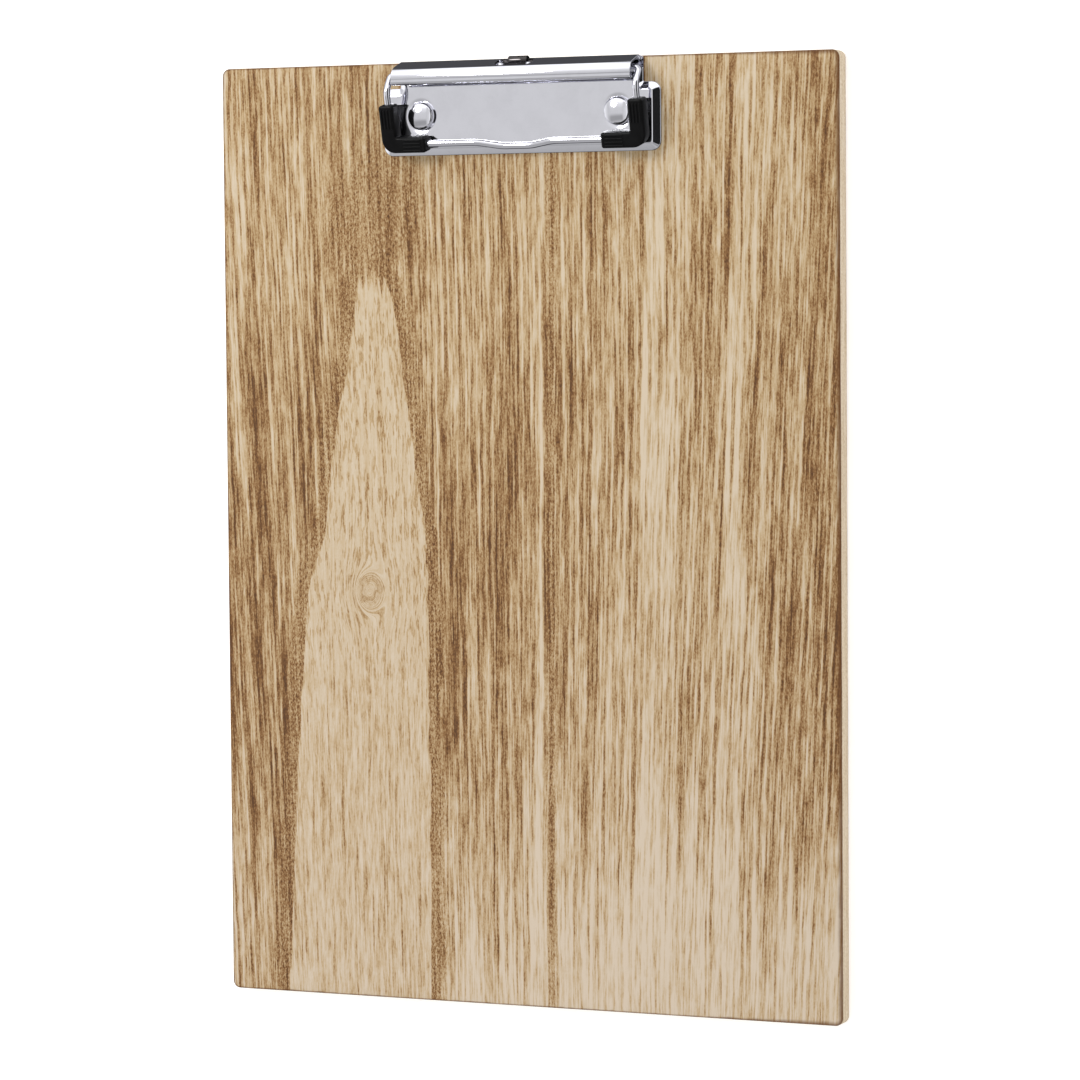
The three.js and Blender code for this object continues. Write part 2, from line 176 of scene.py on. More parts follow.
def spot(x, down, height):
    """A place on the clip, in metres in the row frame."""
    return Vector((x * MM, BOARD_HIGH.y - down * MM, BOARD_HIGH.z + height * MM))


HINGE_DOWN, HINGE_HEIGHT = to_down(HINGE.y), to_height(HINGE.z)
BAIL_DOWN, BAIL_HEIGHT = to_down(BAIL_PIVOT.y), to_height(BAIL_PIVOT.z)


# ---------------------------------------------------------------- shapes


def rounded(corners, closed=True, steps=6):
    """The points of a line with rounded corners. Each corner is (point, how far its arc reaches)."""
    points = []
    count = len(corners)
    for index, (corner, reach) in enumerate(corners):
        at_end = not closed and index in (0, count - 1)
        if at_end or reach == 0:
            points.append(corner.copy())
            continue
        back = (corners[index - 1][0] - corner).normalized()
        ahead = (corners[(index + 1) % count][0] - corner).normalized()
        half_angle = back.angle(ahead) / 2
        centre = corner + (back + ahead).normalized() * (reach / math.cos(half_angle))
        first = corner + back * reach - centre
        last = corner + ahead * reach - centre
        turn = math.pi - 2 * half_angle
        for step in range(steps + 1):
            share = step / steps
            weights = math.sin((1 - share) * turn), math.sin(share * turn)
            points.append(centre + (first * weights[0] + last * weights[1]) / math.sin(turn))
    return points


def rectangle(x_min, x_max, y_min, y_max, radius, steps=8):
    corners = [(x_min, y_min), (x_max, y_min), (x_max, y_max), (x_min, y_max)]
    return rounded([(Vector(corner), radius) for corner in corners], steps=steps)


def circle(centre, radius, sides=64):
    turns = [2 * math.pi * index / sides for index in range(sides)]
    return [centre + radius * Vector((math.cos(turn), math.sin(turn))) for turn in turns]


def inset(outline, distance):
    """A closed anticlockwise outline moved inwards."""
    moved = []
    for index, point in enumerate(outline):
        before = (point - outline[index - 1]).normalized()
        after = (outline[(index + 1) % len(outline)] - point).normalized()
        mean = (before + after).normalized()
        inward = Vector((-mean.y, mean.x))
        moved.append(point + inward * (distance / max(0.3, mean.dot(after))))
    return moved


def offset(path, distance):
    """An open line of 2-D points moved to its left."""
    moved = []
    for index, point in enumerate(path):
        along = (path[min(index + 1, len(path) - 1)] - path[max(index - 1, 0)]).normalized()
        moved.append(point + Vector((-along.y, along.x)) * distance)
    return moved


def curve_through(start, control, end, steps):
    """A quadratic curve, without its start point."""
    shares = [step / steps for step in range(1, steps + 1)]
    return [start * (1 - t) ** 2 + control * 2 * t * (1 - t) + end * t * t for t in shares]


def ring(bm, points):
    return [bm.verts.new(point) for point in points]


def flat_ring(bm, outline, height):
    """A level ring on the clip, from (x, down) points."""
    return ring(bm, [spot(point.x, point.y, height) for point in outline])


def raised_ring(bm, outline, height):
    """A level ring on a grip that is still drawn flat."""
    return ring(bm, [Vector((*point, height)) for point in outline])


def bridge(bm, rings):
    """Quads between each ring and the next."""
    for low, high in zip(rings, rings[1:]):
        for index in range(len(low)):
            after = (index + 1) % len(low)
            bm.faces.new((low[index], low[after], high[after], high[index]))


def fill(bm, *loops):
    """A flat face inside the first loop and outside the others."""
    edges = []
    for loop in loops:
        for index, vert in enumerate(loop):
            pair = (loop[index - 1], vert)
            edges.append(bm.edges.get(pair) or bm.edges.new(pair))
    bmesh.ops.triangle_fill(bm, use_beauty=True, use_dissolve=False, edges=edges)


def solid(bm, rings):
    """A closed skin along a row of rings, with a flat face over each end."""
    bridge(bm, rings)
    fill(bm, rings[0])
    fill(bm, rings[-1])


def eased_levels(low, high, reach, steps):
    """(inset, level) pairs of a solid with rounded edges, from its low face to its high one."""
    turns = [math.pi / 2 * step / steps for step in range(steps + 1)]
    edge = [(reach * (1 - math.sin(turn)), reach * (1 - math.cos(turn))) for turn in turns]
    return [(cut, low + rise) for cut, rise in edge] + [(cut, high - rise) for cut, rise in reversed(edge)]


def side_arc(centre, radius, start, end, steps):
    """(down, height) points round a centre, by angle from the rear, over the top, to the front."""
    turns = [start + (end - start) * step / steps for step in range(steps + 1)]
    return [centre + radius * Vector((-math.cos(turn), math.sin(turn))) for turn in turns]


def sheet_outline(middle, half):
    """The outline of a bent sheet with rounded ends, from its middle line."""
    end_steps = 5
    tips = []
    for tip, inner in ((middle[-1], middle[-2]), (middle[0], middle[1])):
        facing = (tip - inner).normalized()
        left = Vector((-facing.y, facing.x))
        for step in range(1, end_steps):
            turn = math.pi * step / end_steps
            tips.append(tip + half * (left * math.cos(turn) + facing * math.sin(turn)))
    far, near = tips[: end_steps - 1], tips[end_steps - 1:]
    return offset(middle, half) + far + offset(middle, -half)[::-1] + near


def sheet(bm, middle, thickness, x_min, x_max, ease=0.1):
    """A bent sheet that runs along X, from its side-view middle line of (down, height) points."""
    rings = []
    for cut, x in eased_levels(x_min, x_max, ease, 3):
        outline = sheet_outline(middle, thickness / 2 - cut)
        rings.append(ring(bm, [spot(x, point.x, point.y) for point in outline]))
    solid(bm, rings)


def sweep(bm, path, radius, sides=24):
    """A round bar along a smooth path in metres, with eased ends."""
    last = len(path) - 1
    turns = [2 * math.pi * step / sides for step in range(sides)]
    body = ((radius, 0.0),)
    end = (*body, (0.9 * radius, 0.12 * radius), (0.7 * radius, 0.2 * radius))
    side = (path[1] - path[0]).orthogonal().normalized()
    rings = []
    for index, point in enumerate(path):
        along = (path[min(index + 1, last)] - path[max(index - 1, 0)]).normalized()
        side = (side - along * side.dot(along)).normalized()
        up = along.cross(side)
        outward = -along if index == 0 else along
        spokes = [side * math.cos(turn) + up * math.sin(turn) for turn in turns]
        made = []
        for wide, out in end if index in (0, last) else body:
            made.append(ring(bm, [point + outward * out + wide * spoke for spoke in spokes]))
        rings += reversed(made) if index == 0 else made
    solid(bm, rings)


def lathe(bm, x, down, profile, sides=72):
    """A turned piece about an upright axis, from a profile of (radius, height) points."""
    centre = Vector((x, down))
    rings = []
    for radius, height in profile:
        if radius == 0:
            rings.append([bm.verts.new(spot(x, down, height))])
        else:
            rings.append(flat_ring(bm, circle(centre, radius, sides), height))
    for low, high in zip(rings, rings[1:]):
        if len(low) == len(high):
            bridge(bm, [low, high])
            continue
        tip, rim = (low, high) if len(low) == 1 else (high, low)
        for index in range(sides):
            bm.faces.new((tip[0], rim[index], rim[(index + 1) % sides]))
    return rings


def shade(mesh, smooth_degrees=40):
    """Smooth shading, with sharp edges where faces meet at more than this angle."""
    mesh.shade_smooth()
    mesh.set_sharp_from_angle(angle=math.radians(smooth_degrees))


def to_object(name, bm, smooth_degrees=40):
    bmesh.ops.remove_doubles(bm, verts=bm.verts, dist=1e-7)
    bmesh.ops.recalc_face_normals(bm, faces=bm.faces)
    mesh = bpy.data.meshes.new(name)
    bm.to_mesh(mesh)
    bm.free()
    shade(mesh, smooth_degrees)
    piece = bpy.data.objects.new(name, mesh)
    bpy.context.scene.collection.objects.link(piece)
    return piece


def cut_away(piece, cutter):
    """Takes the cutter's shape out of the piece and removes the cutter."""
    modifier = piece.modifiers.new("cut", "BOOLEAN")
    modifier.operation = "DIFFERENCE"
    modifier.solver = "EXACT"
    modifier.object = cutter
    graph = bpy.context.evaluated_depsgraph_get()
    mesh = bpy.data.meshes.new_from_object(piece.evaluated_get(graph))
    piece.modifiers.clear()
    piece.data = mesh
    shade(mesh)
    bpy.data.objects.remove(cutter)


def keep(piece, node, body, material):
    """The piece stands for its CAD node, rides on its body and takes its finish."""
    piece.data.materials.clear()
    piece.data.materials.append(material)
    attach(piece, body)
    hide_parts(node)


# ---------------------------------------------------------------- shader graphs


class Graph:
    """Short calls for building a node tree out of sockets and plain values."""

    def __init__(self, tree):
        self.tree = tree

    def put(self, socket, value):
        if isinstance(value, bpy.types.NodeSocket):
            self.tree.links.new(value, socket)
        else:
            socket.default_value = value

    def node(self, kind, inputs=(), **settings):
        made = self.tree.nodes.new(kind)
        for name, value in settings.items():
            setattr(made, name, value)
        for name, value in dict(inputs).items():
            self.put(made.inputs[name], value)
        return made

    def math(self, operation, first, second=0.0, third=0.0, clamp=False):
        made = self.node("ShaderNodeMath", operation=operation, use_clamp=clamp)
        for index, value in enumerate((first, second, third)):
            self.put(made.inputs[index], value)
        return made.outputs[0]

    def add(self, *terms):
        total = terms[0]
        for term in terms[1:]:
            total = self.math("ADD", total, term)
        return total

    def times(self, first, second):
        return self.math("MULTIPLY", first, second)

    def less(self, first, second):
        return self.math("SUBTRACT", first, second)

    def between(self, share, first, second):
        """A plain blend of two values."""
        return self.add(self.times(first, self.less(1.0, share)), self.times(second, share))

    def step(self, value, low, high, out_low=0.0, out_high=1.0):
        """A smooth step from out_low to out_high as the value goes from low to high."""
        made = self.node("ShaderNodeMapRange", interpolation_type="SMOOTHSTEP")
        for name, number in zip(
            ("Value", "From Min", "From Max", "To Min", "To Max"), (value, low, high, out_low, out_high)
        ):
            self.put(made.inputs[name], number)
        return made.outputs[0]

    def bump_shape(self, value, centre, width):
        """1 at the centre and falling to 0 at about two widths away."""
        away = self.math("DIVIDE", self.less(value, centre), width)
        return self.math("POWER", math.e, self.times(self.times(away, away), -1.0))

    def split(self, vector):
        return self.node("ShaderNodeSeparateXYZ", {"Vector": vector}).outputs

    def join(self, x, y, z):
        return self.node("ShaderNodeCombineXYZ", {"X": x, "Y": y, "Z": z}).outputs[0]

    def noise(self, x, y, z, scales, detail=2.0, roughness=0.5):
        """Noise from 0 to 1 about 0.5, with its own scale along each of x, y and z."""
        place = self.join(*(self.times(value, scale) for value, scale in zip((x, y, z), scales)))
        made = self.node(
            "ShaderNodeTexNoise",
            {"Vector": place, "Scale": 1.0, "Detail": detail, "Roughness": roughness},
        )
        return made.outputs["Fac"]

    def signed(self, value, size):
        """Noise moved to lie about 0, and scaled."""
        return self.times(self.less(value, 0.5), size)

    def ramp(self, value, stops):
        """A colour ramp from (place, colour or grey) stops."""
        made = self.node("ShaderNodeValToRGB", {"Fac": value})
        elements = made.color_ramp.elements
        while len(elements) < len(stops):
            elements.new(1.0)
        for element, (place, colour) in zip(elements, stops):
            element.position = place
            element.color = (colour,) * 3 + (1.0,) if isinstance(colour, float) else (*colour, 1.0)
        return made.outputs["Color"]

    def curve(self, value, low, high, points):
        """A smooth line through (in, out) points, for values from low to high."""
        made = self.node("ShaderNodeFloatCurve")
        share = self.math("DIVIDE", self.less(value, low), high - low, clamp=True)
        self.put(made.inputs["Value"], share)
        lows, highs = min(out for _, out in points), max(out for _, out in points)
        dots = made.mapping.curves[0].points
        while len(dots) < len(points):
            dots.new(0.5, 0.5)
        for dot, (place, out) in zip(dots, points):
            dot.location = ((place - low) / (high - low), (out - lows) / (highs - lows))
        made.mapping.update()
        return self.add(self.times(made.outputs[0], highs - lows), lows)

    def mix(self, share, first, second, blend="MIX"):
        made = self.node("ShaderNodeMix", data_type="RGBA", blend_type=blend)
        self.put(made.inputs["Factor"], share)
        colours = [socket for socket in made.inputs if socket.type == "RGBA"]
        for socket, colour in zip(colours, (first, second)):
            self.put(socket, colour if isinstance(colour, bpy.types.NodeSocket) else (*colour, 1.0))
        return [socket for socket in made.outputs if socket.type == "RGBA"][0]


def new_material(name):
    material = bpy.data.materials.new(name)
    material.use_nodes = True
    graph = Graph(material.node_tree)
    shader = material.node_tree.nodes["Principled BSDF"]
    place = graph.node("ShaderNodeTexCoord").outputs["Object"]
    millimetres = graph.node("ShaderNodeVectorMath", operation="SCALE")
    graph.put(millimetres.inputs[0], place)
    graph.put(millimetres.inputs["Scale"], 1 / MM)
    return material, graph, shader, graph.split(millimetres.outputs[0])


def srgb(red, green, blue):
    """A screen colour of 0 to 255 as linear light."""
    shares = [channel / 255 for channel in (red, green, blue)]
    return tuple(s / 12.92 if s <= 0.04045 else ((s + 0.055) / 1.055) ** 2.4 for s in shares)


# ---------------------------------------------------------------- wood

# The flame's sides, as (y, x) points up the board
FLAME_LEFT = (
    (-160, -90.5), (-100, -87.3), (-60, -84.6), (-20, -81.3), (0, -75), (30, -71.3), (60, -65.2),
    (88, -61.5),
)
FLAME_RIGHT = (
    (-160, -36.3), (-60, -35.8), (-10, -36.3), (20, -40), (48, -43.8), (72, -47), (88, -51.5),
)
FLAME_TIP = 87.0
KNOT = (-58.0, -20.0)
# Bands of the face: (x at the board's middle, tone from there on to the next)
BANDS = (
    (-113, 0.47), (-100, 0.43), (-60, 0.42), (-22, 0.48), (-16, 0.4), (-5, 0.45), (3, 0.53), (7.2, 0.36),
    (12.5, 0.46), (26, 0.52), (37.5, 0.44), (41.5, 0.74), (50, 0.62), (57, 0.46), (60, 0.51), (71.5, 0.66),
    (78, 0.46), (86, 0.43), (97, 0.38), (107, 0.3),
)
BAND_EDGE = 1.2
# Paler and darker patches: centre, half size, how much paler
PATCHES = (
    ((-13.0, -15.0), (9.0, 45.0), -0.16), ((-104.0, -80.0), (16.0, 90.0), -0.24),
    ((-102.0, 0.0), (12.0, 22.0), -0.16), ((-100.0, 130.0), (18.0, 60.0), 0.04),
    ((109.0, -130.0), (6.0, 50.0), 0.3), ((-4.0, 85.0), (5.0, 60.0), -0.08),
    ((108.0, 10.0), (10.0, 110.0), -0.04), ((-28.0, 125.0), (16.0, 45.0), 0.14),
    ((24.0, 5.0), (12.0, 50.0), -0.12), ((-70.0, 120.0), (12.0, 30.0), 0.1),
)
# Long thin marks: x at the top edge, x at the bottom edge, width, how much paler
MARKS = (
    (7.2, 4.4, 0.9, 0.2), (44.6, 37.0, 0.6, -0.3), (75.0, 66.0, 0.9, -0.3), (92.0, 85.0, 0.7, -0.16),
    (-21.0, -23.0, 0.7, -0.14), (26.0, 22.0, 0.6, -0.12),
)


def leaning(graph, y, top, bottom):
    """The x of a straight line that runs from the board's top edge to its bottom edge."""
    return graph.add(graph.times(y, (top - bottom) / 320), (top + bottom) / 2)


def flame_shape(graph, x, y, z):
    """How far a place is inside the pale flame's sides and its ragged tip, in millimetres."""
    rag = graph.signed(graph.noise(x, y, z, (0.9, 0.09, 0.4), detail=3.0, roughness=0.6), 2.2)
    fringe = graph.signed(graph.noise(x, y, z, (0.5, 0.012, 0.4), detail=2.0, roughness=0.7), 22.0)
    left = graph.curve(y, -160, 160, FLAME_LEFT)
    right = graph.curve(y, -160, 160, FLAME_RIGHT)
    from_left = graph.add(graph.less(x, left), rag)
    from_right = graph.add(graph.less(right, x), rag)
    from_tip = graph.add(graph.less(FLAME_TIP, y), fringe)
    return from_left, from_right, from_tip


def soft_patch(graph, x, y, centre, size):
    """1 at the centre of an oval patch and falling to 0 outside it."""
    return graph.times(graph.bump_shape(x, centre[0], size[0]), graph.bump_shape(y, centre[1], size[1]))


def band_tone(graph, fanned):
    """The tone of the band at a place, with narrow steps between the bands."""
    stops = []
    half_span = -BANDS[0][0]
    for (start, tone), (end, _) in zip(BANDS, (*BANDS[1:], (half_span, 0.0))):
        for place in (start + BAND_EDGE / 2, end - BAND_EDGE / 2):
            stops.append(((place + half_span) / (2 * half_span), tone))
    share = graph.math("DIVIDE", graph.add(fanned, half_span), 2.0 * half_span)
    left_half = graph.ramp(share, stops[: len(stops) // 2])
    right_half = graph.ramp(share, stops[len(stops) // 2:])
    middle = BANDS[len(BANDS) // 2][0]
    return graph.between(graph.math("LESS_THAN", fanned, middle), right_half, left_half)


def knot_distance(graph, x, y, z):
    """The distance from the knot, plain and then bent by noise."""
    from_x = graph.less(x, KNOT[0])
    from_y = graph.times(graph.less(y, KNOT[1]), 0.75)
    square = graph.add(graph.times(from_x, from_x), graph.times(from_y, from_y))
    plain = graph.math("SQRT", square)
    bend = graph.signed(graph.noise(x, y, z, (0.26, 0.2, 0.2), detail=2.0), 10.0)
    return plain, graph.add(plain, bend)


def striped_tone(graph, x, y, fanned, wobble, strands, cloud):
    """The tone of the striped wood round the flame, before its fine grain."""
    tone = graph.add(
        band_tone(graph, graph.add(fanned, graph.times(wobble, 0.6))),
        graph.signed(strands, 0.75),
        graph.signed(cloud, 0.7),
    )
    place = graph.add(x, graph.times(wobble, 0.4))
    for top, bottom, width, paler in MARKS:
        mark = graph.bump_shape(place, leaning(graph, y, top, bottom), width)
        tone = graph.add(tone, graph.times(mark, paler))
    for centre, size, paler in PATCHES:
        tone = graph.add(tone, graph.times(soft_patch(graph, x, y, centre, size), paler))
    paler_low = graph.times(graph.step(y, -80.0, -155.0), graph.step(x, -50.0, -25.0))
    return graph.math("MINIMUM", graph.add(tone, graph.times(paler_low, 0.36)), 0.86)


def scorched_share(graph, x, y, z, from_left, from_right):
    """How scorched a place is: along the flame's sides, above its tip and beside one long line."""
    breadth = graph.add(4.2, graph.signed(graph.noise(x, y, z, (0.02, 0.03, 0.1), detail=2.0), 10.0))
    sides = graph.math(
        "MAXIMUM",
        graph.bump_shape(from_left, -1.2, breadth),
        graph.bump_shape(from_right, -1.2, breadth),
    )
    below_tip = graph.step(y, 98.0, 84.0)
    above_tip = soft_patch(graph, x, y, (-55.0, 108.0), (19.0, 24.0))
    beside_line = graph.times(graph.bump_shape(x, leaning(graph, y, 11.0, 8.8), 2.4), 0.6)
    share = graph.math("MAXIMUM", above_tip, beside_line)
    share = graph.math("MAXIMUM", graph.times(sides, below_tip), share)
    return graph.times(graph.step(share, 0.08, 0.8), 0.85)


def flame_tone(graph, y, grain, lines, dashes, knot_far, knot_bent):
    """The tone inside the flame: pale, with short dashes that give way to long lines lower down."""
    low_down = graph.step(y, -20.0, -80.0)
    faint_grain = graph.times(grain, graph.add(0.32, graph.times(low_down, 0.5)))
    dark_dashes = graph.times(graph.step(dashes, 0.52, 0.6), graph.add(-0.34, graph.times(low_down, 0.18)))
    dark_lines = graph.times(graph.step(lines, 0.5, 0.66), graph.times(low_down, -0.34))
    knot_ring = graph.times(graph.bump_shape(knot_bent, 3.6, 0.8), graph.bump_shape(knot_far, 0.0, 6.0))
    return graph.add(0.8, faint_grain, dark_dashes, dark_lines, graph.times(knot_ring, -0.3))


def wood_grain(graph, x, y, z):
    """The face's tone, 0 the darkest brown and 1 the palest, and the noise of its lines and dashes."""
    fan = graph.math("MULTIPLY_ADD", x, 0.0004, 0.0045)
    fanned = graph.less(x, graph.times(y, fan))
    sway = graph.signed(graph.noise(x, y, z, (0.01, 0.005, 0.05), detail=1.0), 5.0)
    wobble = graph.signed(graph.noise(x, y, z, (0.09, 0.03, 0.2), detail=2.0), 1.3)
    knot_far, knot_bent = knot_distance(graph, x, y, z)
    # The lines part round the knot and curl inside it
    parting = graph.times(graph.bump_shape(knot_far, 0.0, 9.0), -0.65)
    straight = graph.add(fanned, sway, wobble, graph.times(graph.less(x, KNOT[0]), parting))
    across = graph.between(graph.times(graph.bump_shape(knot_far, 0.0, 3.2), 0.8), straight, knot_bent)

    lines = graph.noise(across, y, z, (0.75, 0.013, 0.3), detail=1.5, roughness=0.9)
    strands = graph.noise(across, y, z, (0.17, 0.008, 0.1), detail=1.0, roughness=1.0)
    flecks = graph.noise(across, y, z, (1.0, 0.1, 0.8), detail=1.5, roughness=0.9)
    dashes = graph.noise(across, y, z, (1.5, 0.17, 0.5), detail=1.0, roughness=0.6)
    speckle = graph.noise(x, y, z, (1.9, 0.8, 2.3), detail=1.5, roughness=0.9)
    cloud = graph.noise(fanned, y, z, (0.04, 0.007, 0.05), detail=2.0, roughness=0.6)

    grain = graph.add(graph.signed(lines, 2.2), graph.signed(flecks, 1.5))
    tone = graph.add(striped_tone(graph, x, y, fanned, wobble, strands, cloud), grain)
    from_left, from_right, from_tip = flame_shape(graph, x, y, z)
    grainy = graph.add(0.2, graph.signed(speckle, 1.0), graph.times(grain, 0.5))
    tone = graph.between(scorched_share(graph, x, y, z, from_left, from_right), tone, grainy)
    past_side = graph.step(graph.math("MINIMUM", from_left, from_right), -0.25, 0.3)
    inside = graph.times(past_side, graph.step(from_tip, -1.0, 3.0))
    tone = graph.between(inside, tone, flame_tone(graph, y, grain, lines, dashes, knot_far, knot_bent))

    rough = graph.times(graph.signed(speckle, 1.2), graph.step(tone, 0.2, 0.7, 1.0, 0.3))
    return graph.add(tone, rough), lines, dashes


def from_edge(graph, x, y):
    """How far a place is in from the board's sides and round corners, up to the corner radius."""
    to_side = graph.less(BOARD_HIGH.x / MM, graph.math("ABSOLUTE", x))
    to_end = graph.less(BOARD_HIGH.y / MM, graph.math("ABSOLUTE", y))
    past_side = graph.math("MAXIMUM", graph.less(BOARD_CORNER, to_side), 0.0)
    past_end = graph.math("MAXIMUM", graph.less(BOARD_CORNER, to_end), 0.0)
    square = graph.add(graph.times(past_side, past_side), graph.times(past_end, past_end))
    return graph.less(BOARD_CORNER, graph.math("SQRT", square))


def face_colour(graph, tone, y):
    """The stained face: brown to cream by tone, and a little warmer towards the clip."""
    stain = graph.ramp(
        graph.math("MULTIPLY_ADD", tone, 0.8, 0.2),
        (
            (0.0, srgb(88, 58, 32)),
            (0.2, srgb(116, 79, 43)),
            (0.29, srgb(134, 98, 58)),
            (0.38, srgb(148, 114, 76)),
            (0.49, srgb(163, 133, 94)),
            (0.6, srgb(177, 150, 113)),
            (0.7, srgb(188, 165, 132)),
            (0.8, srgb(194, 174, 146)),
            (0.9, srgb(198, 181, 157)),
            (1.0, srgb(203, 187, 166)),
        ),
    )
    tints = ((0.0, (1.0, 0.995, 1.0)), (1.0, (1.015, 1.005, 0.955)))
    return graph.mix(1.0, stain, graph.ramp(graph.step(y, -150.0, 130.0), tints), blend="MULTIPLY")


def core_colour(graph, x, y, z):
    """The bare pale wood of the side faces."""
    grain = graph.noise(x, y, z, (0.5, 0.05, 1.2), detail=3.0, roughness=0.8)
    pores = graph.noise(x, y, z, (1.6, 1.1, 1.9), detail=2.0, roughness=0.8)
    return graph.ramp(
        graph.add(graph.signed(grain, 1.0), pores),
        ((0.25, srgb(186, 162, 129)), (0.5, srgb(212, 194, 167)), (0.75, srgb(226, 212, 191))),
    )


def wood_material():
    material, graph, shader, (x, y, z) = new_material("burnt_wood")
    tone, lines, dashes = wood_grain(graph, x, y, z)
    to_edge = from_edge(graph, x, y)
    to_front = graph.less(BOARD_HIGH.z / MM, z)
    on_core = graph.times(graph.step(to_edge, 0.12, 0.02), graph.step(to_front, 0.25, 0.5))
    colour = graph.mix(on_core, face_colour(graph, tone, y), core_colour(graph, x, y, z))

    # A burnt line along the front edge, wider on the right
    fray = graph.signed(graph.noise(x, y, z, (0.12, 0.12, 1.0), detail=3.0, roughness=0.7), 1.1)
    burn_width = graph.add(0.8, graph.times(graph.step(x, 60.0, 110.0), 1.1))
    near_side = graph.step(graph.add(to_edge, fray), burn_width, 0.1)
    near_front = graph.step(graph.add(to_front, fray), 1.1, 0.25)
    burnt = graph.times(graph.times(near_side, near_front), 0.85)
    colour = graph.mix(burnt, colour, srgb(96, 59, 26))

    graph.put(shader.inputs["Base Color"], colour)
    graph.put(shader.inputs["Roughness"], graph.ramp(tone, ((0.1, 0.62), (0.8, 0.5))))
    shader.inputs["Specular IOR Level"].default_value = 0.25
    relief = graph.add(graph.times(lines, 0.6), graph.times(dashes, -0.3), graph.times(tone, 0.3))
    bump = graph.node("ShaderNodeBump", {"Height": relief, "Strength": 0.35, "Distance": 0.12 * MM})
    graph.put(shader.inputs["Normal"], bump.outputs["Normal"])
    return material


# ---------------------------------------------------------------- metal and rubber


def hinge_painted_shade(graph, x, y, z):
    """How much painted shade lies at a place in the hinge, behind the lever's slot: a dark patch that stands
    in for the shadow in there.
    """
    near_edge = graph.step(y, BOARD_HIGH.y / MM - 2.6, BOARD_HIGH.y / MM - 1.8)
    in_slot = graph.step(graph.math("ABSOLUTE", x), SLOT_HALF_WIDTH - 0.6, SLOT_HALF_WIDTH - 1.2)
    low_down = graph.step(z, BOARD_HIGH.z / MM + 3.8, BOARD_HIGH.z / MM + 3.4)
    return graph.times(graph.times(graph.times(near_edge, in_slot), low_down), 0.94)


def plated_metal(name, colour, roughness, smudge, orange_peel, painted_hinge_shade=False):
    """Bright plating: a clean mirror with faint smudges and a very low ripple, and, when asked, painted
    shade in the hinge behind the lever's slot.
    """
    material, graph, shader, (x, y, z) = new_material(name)
    shader.inputs["Metallic"].default_value = 1.0
    cloud = graph.noise(x, y, z, (0.12, 0.12, 0.12), detail=4.0, roughness=0.65)
    fine = graph.noise(x, y, z, (1.2, 1.2, 1.2), detail=2.0)
    shifted = graph.mix(graph.step(cloud, 0.35, 0.7), colour, tuple(0.95 * channel for channel in colour))
    if painted_hinge_shade:
        # Painted shade: the hinge behind the lever's slot is painted dark brown to stand in for the shadow
        # inside the slot.
        shifted = graph.mix(hinge_painted_shade(graph, x, y, z), shifted, srgb(40, 34, 30))
    graph.put(shader.inputs["Base Color"], shifted)
    smudged = graph.times(graph.step(cloud, 0.45, 0.75), smudge)
    graph.put(shader.inputs["Roughness"], graph.add(roughness, smudged))
    bump = graph.node("ShaderNodeBump", {"Height": fine, "Strength": orange_peel, "Distance": 0.01 * MM})
    graph.put(shader.inputs["Normal"], bump.outputs["Normal"])
    return material


def rubber_material():
    material, graph, shader, (x, y, z) = new_material("grip_rubber")
    skin = graph.noise(x, y, z, (5.0, 5.0, 5.0), detail=3.0, roughness=0.6)
    dust = graph.noise(x, y, z, (0.3, 0.3, 0.3), detail=4.0, roughness=0.7)
    colour = graph.ramp(dust, ((0.35, srgb(7, 7, 8)), (0.75, srgb(13, 13, 14))))
    graph.put(shader.inputs["Base Color"], colour)
    graph.put(shader.inputs["Roughness"], graph.step(dust, 0.3, 0.7, 0.34, 0.44))
    shader.inputs["Specular IOR Level"].default_value = 0.14
    bump = graph.node("ShaderNodeBump", {"Height": skin, "Strength": 0.2, "Distance": 0.03 * MM})
    graph.put(shader.inputs["Normal"], bump.outputs["Normal"])
    return material


# ---------------------------------------------------------------- pieces


def rivet_places():
    """(x, down) of each rivet, by side, from the CAD nodes."""
    places = {}
    for side in ("left", "right"):
        low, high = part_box(f"rivet_{side}")
        centre = (low + high) / 2
        places[side] = Vector((centre.x / MM, to_down(centre.y)))
    return places


def make_board():
    bm = bmesh.new()
    bottom = to_height(BOARD_LOW.z)
    half_width = BOARD_HIGH.x / MM
    length = (BOARD_HIGH.y - BOARD_LOW.y) / MM
    outline = rectangle(-half_width, half_width, 0.0, length, BOARD_CORNER, steps=12)
    levels = eased_levels(bottom, 0.0, BOARD_EASE, 4)
    rings = [flat_ring(bm, inset(outline, cut), height) for cut, height in levels]
    bridge(bm, rings)
    backs, fronts = [], []
    for centre in rivet_places().values():
        recess = bottom + RECESS_DEPTH
        profile = (
            (RECESS_RADIUS + 0.3, bottom),
            (RECESS_RADIUS + 0.09, bottom + 0.09),
            (RECESS_RADIUS, bottom + 0.3),
            (RECESS_RADIUS, recess),
            (RIVET_HOLE_RADIUS, recess),
            (RIVET_HOLE_RADIUS, 0.0),
        )
        bore = [flat_ring(bm, circle(centre, radius), height) for radius, height in profile]
        bridge(bm, bore)
        backs.append(bore[0])
        fronts.append(bore[-1])
    fill(bm, rings[0], *backs)
    fill(bm, rings[-1], *fronts)
    return to_object("wooden_board", bm)


